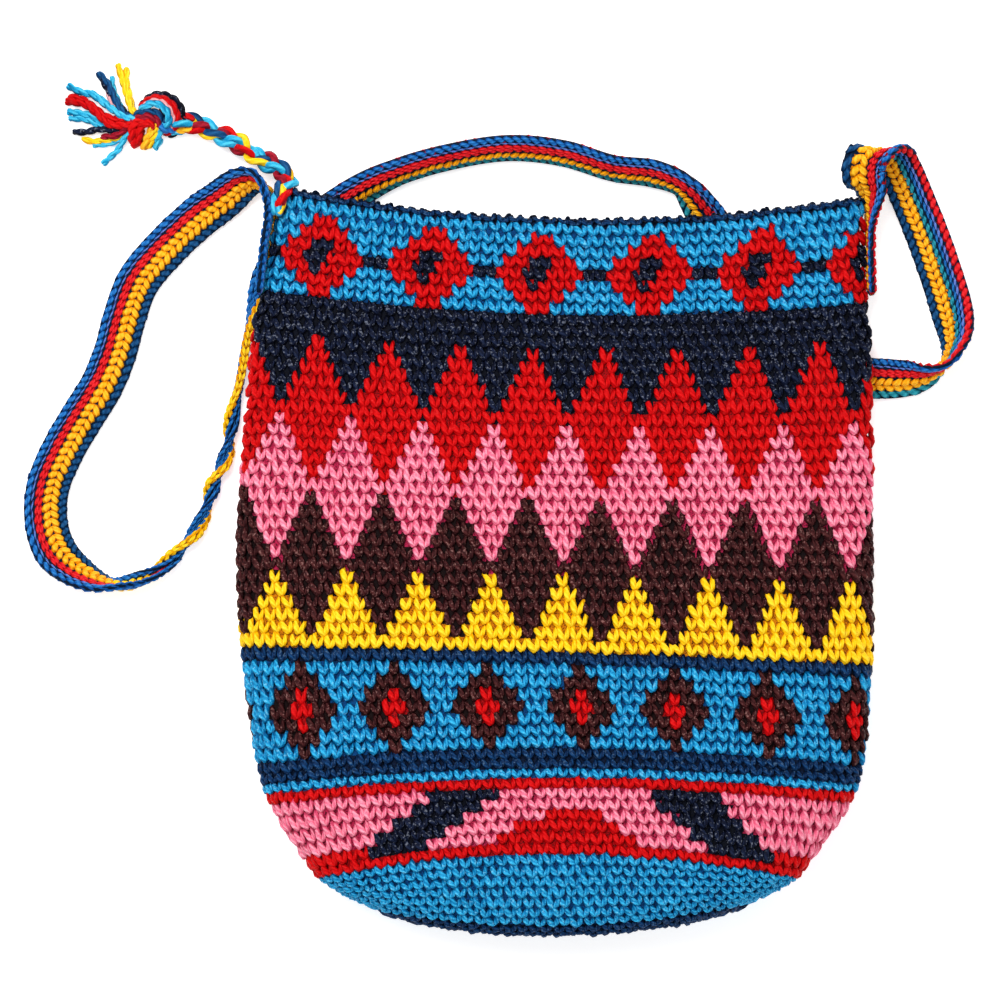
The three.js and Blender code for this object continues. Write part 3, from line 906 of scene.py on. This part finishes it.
def ringLength(ring):
    return np.linalg.norm(np.diff(np.vstack([ring, ring[:1]]), axis=0), axis=1).sum()


def stitchCount(row):
    # how many stitches the row has, and how wide they are on the front
    for last, count, width in stitchCounts:
        if row < last:
            return count, width
    length = ringLength(bodyRing(row + 0.5, body["stitchInset"], body["restHeight"]))
    count = max(round(length / body["baseStitchWidth"]), 6)
    return count, length / count


def ringPlace(k, count, width, length):
    # the share of the round at which stitch k stands, counted from the front's middle
    front = count * frontShare
    if abs(k) <= front:
        return k * width / length
    narrow = (length / 2 - front * width) / (count / 2 - front)
    return math.copysign((front * width + (abs(k) - front) * narrow) / length, k)


def stitchAt(share, count, width, length):
    # the other way: which stitch stands at a share of the round, from -0.5 to 0.5
    front = count * frontShare
    reach = abs(share) * length
    if reach <= front * width:
        return math.copysign(reach / width, share)
    narrow = (length / 2 - front * width) / (count / 2 - front)
    return math.copysign(front + (reach - front * width) / narrow, share)


def pointsOnRing(ring, places):
    # places run from 0 to 1 round the ring
    closed = np.vstack([ring, ring[:1]])
    run = np.concatenate([[0], np.cumsum(np.linalg.norm(np.diff(closed, axis=0), axis=1))])
    wanted = (np.asarray(places) % 1) * run[-1]
    return np.stack([np.interp(wanted, run, closed[:, k]) for k in range(3)], axis=1), run[-1]


# from and to are rows; middle and period are in stitches
pattern = {
    "rimDiamonds": {"from": 2, "to": 9, "middle": -2.25, "period": 9, "widths": [2, 4, 6, 7, 6, 4, 2],
                    "hearts": {4: 2, 5: 2, 6: 1}, "lineRow": 5, "lastMiddles": (-50, 45)},
    "spires": {"from": 12, "to": 36, "middle": -2.35, "period": 6, "rise": 6,
               "steps": [("red", "navy"), ("pink", "red"), ("brown", "pink"), ("yellow", "brown")]},
    "lowDiamonds": {"from": 37, "to": 44, "middle": 1.95, "period": 8, "widths": [1, 3, 5, 6, 5, 3, 1],
                    "hearts": {39: 1, 40: 2, 41: 1}, "lineRow": 40},
    "hills": {"from": 48, "to": 53, "middle": 0.9, "period": 54, "hill": [0, 0, 2.5, 4.2, 6],
              "bars": [(6.6, 12.4), (7.6, 13.4), (9, 15), (10.2, 16.4), (11.8, 17.6)]},
}
plainRows = {0: "indigo", 1: "sky", 9: "navy", 10: "navy", 11: "navy", 36: "indigo", 44: "indigo",
             45: "indigo", 46: "sky", 47: "red", 53: "red"}
navyFrom = 61              # the base's middle is navy from this row


def bandOf(row):
    for name, art in pattern.items():
        if art["from"] <= row < art["to"]:
            return name, art
    return None, None


def offMiddle(k, middle, period):
    # signed distance in stitches from the nearest repeat's middle
    return (k - middle + period / 2) % period - period / 2


def within(off, width):
    # whether a stitch is one of the width stitches round a repeat's middle
    return -width / 2 <= off < width / 2


def rowPhase(row):
    # where the row's stitches stand: the first stitch's place in stitches
    name, art = bandOf(row)
    if name == "rimDiamonds":
        return art["middle"] + (0 if row == art["lineRow"] else 0.5)
    if name == "spires":
        return art["middle"] + 0.5 * (row % 2)
    if name == "lowDiamonds":
        return art["middle"] + (0.5 if row == art["lineRow"] else 0)
    return 0.5 * (row % 2) + 0.2


def yarnAt(row, k):
    if row in plainRows:
        return plainRows[row]
    name, art = bandOf(row)
    if name is None:
        return "sky" if row < navyFrom else "indigo"
    line = row - art["from"]
    off = offMiddle(k, art["middle"], art["period"])
    if name == "rimDiamonds":
        # the round doesn't hold a whole number of diamonds, so there is a gap at the back
        first, last = art["lastMiddles"]
        if first <= k - off <= last:
            if within(off, art["hearts"].get(row, 0)):
                return "navy"
            if within(off, art["widths"][line]):
                return "red"
        return "navy" if row == art["lineRow"] else "sky"
    if name == "spires":
        step, line = divmod(line, art["rise"])
        off = offMiddle(k, art["middle"] + art["period"] / 2 * (step % 2), art["period"])
        return art["steps"][step][0] if abs(off) <= line / 2 + 0.1 else art["steps"][step][1]
    if name == "lowDiamonds":
        if within(off, art["hearts"].get(row, 0)):
            return "red"
        return "brown" if within(off, art["widths"][line]) else "sky"
    off = abs(off)
    inner, outer = art["bars"][line]
    if inner <= off < outer:
        return "navy"
    if off < art["hill"][line] or (row == art["to"] - 1 and off >= outer):
        return "red"
    return "pink"


# colours between and under the stitches: each yarn darkened as painted shade in the holes
gapColours = {"navy": (5, 10, 24), "sky": (0, 70, 130), "red": (174, 2, 8), "pink": (182, 34, 76),
              "brown": (24, 8, 8), "yellow": (206, 124, 0), "indigo": (4, 24, 54)}


def rowLine(row):
    # the row number on the bag's surface, as the first round is only half as tall
    return float(np.interp(row, [0, 1, 4, 73], [0, 0.5, 4, 73]))


def sway(k, row, along, down, layer):
    return noise.noise(Vector((k * along, row * down, layer))) * body["wave"]


def stitchRow(row, inset, rest, shape, inside=False):
    # the stitches of one row of crochet, counted from the rim
    count, width = stitchCount(row)
    phase = rowPhase(row)
    middle = bodyRing(rowLine(row + 0.5), inset, rest)
    above = bodyRing(rowLine(row), inset, rest)
    below = bodyRing(rowLine(row + 1), inset, rest)
    first = math.ceil(-count / 2 - phase)
    ks = [phase + first + n for n in range(count)]
    step = 0.4 / count
    length = ringLength(middle)
    places = np.array([ringPlace(k, count, width, length) for k in ks])
    points, _ = pointsOnRing(middle, places)
    ahead = pointsOnRing(middle, places + step)[0] - pointsOnRing(middle, places - step)[0]
    # up is square to the row, so the points above and below are the nearest ones
    up = pointsOnRing(above, places)[0] - pointsOnRing(below, places)[0]
    stitches = []
    for n, k in enumerate(ks):
        along, towards, outwards = steady(Vector(ahead[n]), Vector(up[n]))
        rise = abs(Vector(up[n]).dot(towards))
        wave, bob = sway(k, row, *body["waveUp"]), sway(k, row, *body["waveAlong"])
        place = (Vector(points[n]) + towards * wave + along * bob) * mm
        start, end = (ringPlace(k + side, count, width, length) for side in (-0.5, 0.5))
        shortest, tallest = body["riseLimits"]
        size = [(end - start) * length / body["stitchWidth"],
                min(max(rise, shortest), tallest) / body["stitchHeight"], 1.0]
        if inside:
            along, outwards = -along, -outwards
        stitches.append((place, along, towards, outwards, size, shape, yarnAt(row, k)))
    return stitches


def plantBody(name, stitches, seed):
    return plant(name, stitches, body["tilt"], body["sizeSpread"], body["drift"], body["seed"] + seed)


def addBody():
    groups = {"bagRim": range(0, 12), "bagSpiresUpper": range(12, 24), "bagSpiresLower": range(24, 37),
              "bagLowerBands": range(37, 54), "bagBase": range(54, 72)}
    pieces = []
    for seed, (name, rows) in enumerate(groups.items()):
        stitches = []
        for row in rows:
            stitches += stitchRow(row, body["stitchInset"], body["restHeight"], "vee")
        pieces.append(plantBody(name, stitches, seed))
    mouth = rimChain()
    for row in range(body["innerRows"]):
        mouth += stitchRow(row, body["innerInset"], body["innerRest"], "vee", inside=True)
    pieces.append(plantBody("bagMouth", mouth, body["mouthSeed"]))
    pieces.append(addShell())
    for piece in pieces:
        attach(piece, "root")
        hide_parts("bag_body")


rim = {
    "line": 0.3,               # rows from the edge at which the chain lies
    "under": 0.8,              # and towards which it hangs
    "start": 0.25,             # in stitches
    "reach": 0.3,
    "size": (0.55, 1.2, 0.6),
}


def rimChain():
    # the last round's loops lie along the rim's edge
    count, _ = stitchCount(0)
    between = (body["stitchInset"] + body["innerInset"]) / 2
    ring = bodyRing(rim["line"], between, body["restHeight"])
    under = bodyRing(rim["under"], between, body["restHeight"])
    places = (np.arange(count) + rim["start"]) / count
    reach = rim["reach"] / count
    points, length = pointsOnRing(ring, places)
    ahead = pointsOnRing(ring, places + reach)[0] - pointsOnRing(ring, places - reach)[0]
    up = points - pointsOnRing(under, places)[0]
    wide, tall, deep = rim["size"]
    size = [wide, tall * length / count / body["stitchHeight"], deep]
    stitches = []
    for n in range(count):
        along, towards, outwards = steady(Vector(ahead[n]), Vector(up[n]))
        stitches.append((Vector(points[n]) * mm, outwards, along, towards, size, "chain", "navy"))
    return stitches


shell = {
    "places": 216,             # round it
    "outerFrom": 70.9,         # rows at which its outer side starts and its inner side ends
    "innerTo": 55.1,
    "outerRest": 3.6,          # lowest points of the two sides, in mm
    "innerRest": 4.5,
    "innerMiddle": (0, 11.6, 0),     # of its inner end, from the base's middle
    "fibreScale": 1400.0,
    "fibreDepth": 0.6 * mm,
    "bumpStrength": 0.8,
    "roughness": 0.95,
    "sheen": 0.2,
}


def addShell():
    # the backs of the stitches: a closed dark shell, coloured row by row, whose darkness is painted shade
    # in the holes
    count = shell["places"]
    places = np.arange(count) / count
    outerInset = body["shellInset"]
    innerInset = outerInset + body["shellThickness"]
    sides = (([shell["outerFrom"], *np.arange(lastSection, -0.01, -1.0)], outerInset, shell["outerRest"]),
             (np.arange(0, shell["innerTo"], 1.0), innerInset, shell["innerRest"]))
    rings = [(row, pointsOnRing(bodyRing(row, inset, rest), places)[0])
             for rows, inset, rest in sides for row in rows]
    vertices = [Vector(p) * mm for _, ring in rings for p in ring]
    first, last = len(vertices), len(vertices) + 1
    vertices.append(Vector(baseMiddle) * mm)
    vertices.append((Vector(baseMiddle) + Vector(shell["innerMiddle"])) * mm)
    faces, colours = [], []
    for i in range(len(rings) - 1):
        a, b = i * count, (i + 1) * count
        row = max(rings[i][0], rings[i + 1][0]) - 0.5
        around, width = stitchCount(int(max(row, 0)))
        length = ringLength(rings[i][1])
        for n in range(count):
            after = (n + 1) % count
            faces.append((a + n, b + n, b + after, a + after))
            share = (n + 0.5) / count
            k = stitchAt(share if share < 0.5 else share - 1, around, width, length)
            colours.append(gapColours[yarnAt(int(max(row, 0)), k)])
    end = (len(rings) - 1) * count
    for n in range(count):
        after = (n + 1) % count
        faces.append((first, n, after))
        colours.append(gapColours["navy"])
        faces.append((last, end + after, end + n))
        colours.append(gapColours["navy"])
    mesh = newMesh("bagShell", vertices, faces)
    layer = mesh.color_attributes.new("gapColour", "FLOAT_COLOR", "CORNER")
    spread = []
    for face, colour in zip(faces, colours):
        spread += list(paint(colour)) * len(face)
    layer.data.foreach_set("color", spread)
    outwardFaces(mesh)
    mesh.materials.append(gapMaterial())
    return newPiece("bagShell", mesh)


def gapMaterial():
    material = newMaterial("stitchBacks")
    tree = material.node_tree
    base = addNode(tree, "ShaderNodeAttribute", {"attribute_name": "gapColour"}).outputs["Color"]
    place = addNode(tree, "ShaderNodeTexCoord").outputs["Object"]
    fibre = noiseOver(tree, place, shell["fibreScale"])
    # painted shade: near black mixed into the holes' colour where the fibre noise is low
    dark = mixColours(tree, fibre.between(0.25, 0.6), paint((8, 6, 10)), base)
    bump = addNode(tree, "ShaderNodeBump", {}, {"Height": fibre * shell["fibreDepth"],
                                                "Strength": shell["bumpStrength"], "Distance": 1.0})
    addShader(tree, {"Base Color": dark, "Roughness": shell["roughness"], "Normal": bump.outputs[0],
                     "Specular IOR Level": shell["sheen"]})
    return material


addBody()
print("bag body is crocheted")


braidRoute = [
    (-118, 167.4, 12.4), (-122.6, 172.8, 11), (-128.6, 176, 9), (-133.6, 178.4, 7.6), (-138, 182, 6.2),
    (-143, 185.4, 5.2), (-149, 188, 4.7), (-156.2, 191.4, 4.7), (-161, 192.8, 5.2), (-164.4, 193.6, 6),
]
braidRoots = [(-122.6, 151.6, 19), (-120.6, 160, 19.6)]      # sewn over the rim's corner
braidTuck = [(-168.4, 194.4, 6.6)]                           # goes on inside the knot
braid = {
    "diameter": 8.6 * mm,
    "period": 24 * mm,           # length of one whole plait
    "swing": 2.6 * mm,
    "dive": 1.4 * mm,
    "yarnRadius": 1.6 * mm,
    "yarnSpread": 0.75,          # a yarn's distance from its strand's middle, in radii
    "yarnTwist": 44 * mm,
    "phaseStep": 0.2,            # turns by which each strand's yarns start after the last one's
    "strands": [("red", "darkRed"), ("yellow", "strapNavy"), ("cyan", "cyan")],
    "looseFrom": 20 * mm,        # it is narrower nearer to the rim than this
    "rootShare": 0.45,           # and so narrow at its root
    "start": 0.35,
}
tail = {
    "yarnRadius": 1.45 * mm,
    "plyPitch": 9 * mm,
    "sides": 7,
    "turn": 6.5 * mm,            # length of one twist of the plies
    "endShare": 0.8,             # of its thickness at a yarn's ends
    "plySpread": 0.42,           # plies' distance from the middle and radius, in yarn radii
    "plyRadius": 0.78,
    "braidStep": 0.8 * mm,       # between the points of a line
    "knotStep": 0.8 * mm,
    "tasselStep": 0.9 * mm,
}


def route(points, step):
    return evenly(smoothLine([Vector(p) * mm for p in points]), step)[0]


def yarnPiece(name, threads):
    # threads are (points, radius, yarn); one mesh with a material for each yarn
    parts, materials, used = [], [], []
    for points, radius, yarn in threads:
        count = len(points)
        radii = [radius * (tail["endShare"] if i in (0, count - 1) else 1) for i in range(count)]
        parts.append(tube(points, radii, tail["sides"], tail["turn"], [1.0] * count))
        used += [yarn] * len(parts[-1][1])
    mesh = newMesh(name, *joined(parts))
    order = sorted(set(used))
    for yarn in order:
        mesh.materials.append(yarnMaterials[yarn])
    mesh.polygons.foreach_set("material_index", [order.index(yarn) for yarn in used])
    tones = mesh.attributes.new("tone", "FLOAT", "POINT")
    rng = random.Random(len(name))
    values = []
    for part in parts:
        values += [rng.random()] * len(part[0])
    tones.data.foreach_set("value", values)
    triangles = sum(len(f.vertices) - 2 for f in mesh.polygons)
    print(name, "has", len(threads), "yarns,", triangles, "triangles")
    return newPiece(name, mesh)


def twisted(points, count, radius, twist, phase=0.0):
    # count lines that wind round points
    lines = [[] for _ in range(count)]
    for point, travelled, (ahead, across, over) in walk(points):
        for n in range(count):
            angle = 2 * math.pi * (travelled / twist + n / count + phase)
            aside, above = radius * math.cos(angle), radius * math.sin(angle)
            lines[n].append(point + across * aside + over * above)
    return lines


def braidPath():
    return route(braidRoots + braidRoute + braidTuck, tail["braidStep"])


def braidThreads():
    middle = braidPath()
    threads = []
    for n, names in enumerate(braid["strands"]):
        line = []
        least = braid["rootShare"]
        for point, travelled, (ahead, across, over) in walk(middle):
            angle = 2 * math.pi * (travelled / braid["period"] + n / 3 + braid["start"])
            loose = least + (1 - least) * smoothStep(travelled, 0, braid["looseFrom"])
            line.append(point + across * (braid["swing"] * loose * math.sin(angle))
                        + over * (braid["dive"] * math.sin(2 * angle)))
        spread = braid["yarnRadius"] * braid["yarnSpread"]
        paths = twisted(line, 2, spread, braid["yarnTwist"], n * braid["phaseStep"])
        for yarn, path in zip(names, paths):
            threads.append((path, braid["yarnRadius"], yarn))
    return threads


# threads of the tassel from the knot out, in mm: yarn, thickness share, points
tasselThreads = [
    ("yellow", 1.0, [(-184, 195, 6), (-187, 198, 5), (-189.6, 205, 3.4), (-191.6, 211.6, 2.4),
        (-193.8, 219, 1.8)]),
    ("yellow", 0.95, [(-184, 194, 5), (-186.4, 197.4, 4), (-188.6, 205, 3), (-190, 211.4, 2.4),
        (-189.8, 217.4, 1.8)]),
    ("strapNavy", 1.05, [(-185, 194, 7), (-190, 196, 6), (-194.4, 202.4, 4), (-198, 210, 2.6),
        (-202.6, 215.2, 1.8)]),
    ("navy", 0.9, [(-185, 193, 6), (-190.6, 198, 4), (-195.8, 204, 3), (-199.4, 209.6, 2.2),
        (-201.4, 213.8, 1.8)]),
    ("rose", 0.55, [(-192, 197.6, 4), (-196.4, 201.6, 3.4), (-198.6, 206.4, 2.4)]),
    ("cyan", 0.7, [(-192, 200, 3), (-195.4, 207.6, 2), (-196.4, 213.6, 1.8)]),
    ("cyan", 1.05, [(-184, 194, 8), (-190.4, 195.4, 6.6), (-198, 200.2, 4.6), (-204.6, 205.2, 3),
        (-211, 207, 2), (-216, 209.6, 1.8)]),
    ("cyan", 0.8, [(-190, 196, 4), (-199.6, 202.6, 2.6), (-205.8, 206.8, 2)]),
    ("red", 1.15, [(-184, 192.6, 7), (-190.6, 191.8, 6.4), (-197, 192.2, 5), (-203.4, 197.6, 3.6),
        (-209, 201.4, 2.6), (-216.8, 202.6, 2)]),
    ("red", 1.05, [(-185, 193.6, 5), (-192, 194.2, 4.8), (-198.6, 195.6, 4), (-204.6, 200.2, 2.8),
        (-209.6, 203.4, 2), (-215.6, 204.6, 1.8)]),
    ("cyan", 1.1, [(-190, 192.4, 3), (-199, 193.4, 2.2), (-206, 196.2, 2), (-216, 198, 1.8)]),
    ("cyan", 0.95, [(-190, 191.4, 3), (-200, 191.4, 2), (-208.4, 194.6, 1.8), (-215.4, 195, 1.8)]),
    ("navy", 1.0, [(-188, 191.4, 4), (-195, 189.6, 3), (-202, 190.2, 2.4), (-208, 189, 1.8),
        (-213.6, 189, 1.8)]),
    ("darkRed", 1.0, [(-184, 193.6, 8), (-188.6, 191.4, 6), (-194, 187.4, 4), (-201, 186.6, 2.2)]),
    ("yellow", 0.95, [(-186, 191, 4), (-192.6, 186.6, 2.6), (-200, 185.2, 2), (-205, 184.8, 1.8),
        (-209.6, 186, 1.8)]),
    ("cyan", 0.7, [(-188, 188.6, 3), (-196, 184, 2), (-204.8, 182.8, 1.8)]),
    ("cyan", 0.95, [(-186, 192, 5), (-189.4, 188.6, 4), (-193.6, 181.2, 2.2), (-197, 178, 1.8),
        (-200.4, 174.8, 1.8)]),
    # the loops that hang out of the knot
    ("red", 1.25, [(-181, 194, 9), (-186, 192.4, 8), (-187.2, 187.4, 6.4), (-186.6, 183.4, 3.6),
        (-184.6, 185, 2.4), (-183, 190, 3)]),
    ("red", 1.2, [(-179.6, 192.6, 9), (-183.4, 191, 7.6), (-184.4, 186.8, 5.6), (-184.4, 183.6, 3),
        (-182.4, 186.6, 2.2)]),
    ("gold", 1.15, [(-177, 193, 8.6), (-178.6, 189.4, 7), (-180.8, 185.4, 5), (-182, 181.8, 2.8),
        (-180, 184, 2)]),
    ("yellow", 1.0, [(-175.8, 192, 8), (-177, 188.4, 6), (-179.2, 184.6, 4), (-180, 182.6, 2.4),
        (-178, 186, 2)]),
    ("cyan", 1.0, [(-173.6, 193, 8), (-175, 188.6, 6), (-176.2, 184.6, 3.6), (-177, 182, 2),
        (-174.8, 186, 2)]),
]
# the knot's turns, in mm: a bunch of side-by-side threads goes over, round and back under
knotThreads = [
    ("cyan", 1.1, [(-184.6, 196, 6), (-181.6, 199.6, 9.4), (-176.6, 201, 11.6), (-172.4, 198.6, 12),
        (-170.6, 194.6, 11), (-172, 191, 8), (-176, 189.6, 4)]),
    ("rose", 0.6, [(-183.6, 198, 6.6), (-180.4, 201.4, 9.6), (-175.6, 202.6, 11.4),
        (-171, 200, 11.6), (-168.8, 195.2, 10.4), (-170, 190.6, 7.4), (-174, 188.4, 4)]),
    ("red", 1.0, [(-183.4, 200, 6), (-179.4, 203, 8.8), (-174.8, 203.6, 10.4),
        (-169.4, 200.8, 10.8), (-167, 195.6, 9.6), (-168.2, 190.6, 6.6), (-173, 187.8, 3)]),
    ("navy", 1.15, [(-183, 200.8, 3.6), (-178.4, 204.6, 6.4), (-173.2, 205, 8),
        (-167.6, 202.2, 8.6), (-164.8, 196.4, 7.8), (-166.2, 190.4, 5.2), (-171, 187.6, 2)]),
    ("strapNavy", 1.1, [(-187.6, 194, 6), (-183.6, 197, 8), (-178.6, 197.6, 10), (-174.6, 195.6, 9),
        (-173, 191.4, 6.4), (-170.6, 189.4, 3.4)]),
    ("darkRed", 1.1, [(-188, 193, 6), (-183.2, 195, 9), (-178.4, 195.2, 10.6), (-175.4, 192.6, 9),
        (-174.6, 189.6, 5)]),
    ("red", 1.1, [(-187.6, 191.6, 6), (-183, 193, 9), (-179.2, 192.6, 10), (-177, 190.4, 7)]),
    ("strapBlue", 1.2, [(-176, 192, 8), (-173.4, 190.4, 8), (-170, 189.6, 6), (-167, 191, 4)]),
    ("cyan", 1.0, [(-170, 188.8, 5), (-166.6, 188.8, 4.6), (-163, 190.4, 4)]),
    ("gold", 1.1, [(-169.4, 192, 4), (-165.4, 189.6, 6), (-161.4, 190.4, 6.4), (-158.4, 192.8, 4)]),
    ("red", 1.2, [(-175, 199, 4), (-168, 198, 4), (-164, 195.6, 7), (-160, 194.6, 6)]),
    ("navy", 1.2, [(-180, 197, 3), (-174, 196, 3), (-168, 194, 3), (-163, 193, 3.4)]),
]


def ropes(yarnLines, step):
    # each thread is two plies wound round each other
    threads = []
    for yarn, share, points in yarnLines:
        line = route(points, step)
        for path in twisted(line, 2, tail["yarnRadius"] * tail["plySpread"] * share, tail["plyPitch"]):
            threads.append((path, tail["yarnRadius"] * tail["plyRadius"] * share, yarn))
    return threads


def addTail():
    plait = yarnPiece("tailBraid", braidThreads())
    knot = yarnPiece("tailKnot", ropes(knotThreads, tail["knotStep"]))
    tassel = yarnPiece("tailTassel", ropes(tasselThreads, tail["tasselStep"]))
    for piece, node in ((plait, "tail_braid"), (knot, "tail_knot"), (tassel, "tail_tassel")):
        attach(piece, "root")
        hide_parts(node)
    middle = braidPath()
    length = sum((b - a).length for a, b in zip(middle, middle[1:]))


addTail()
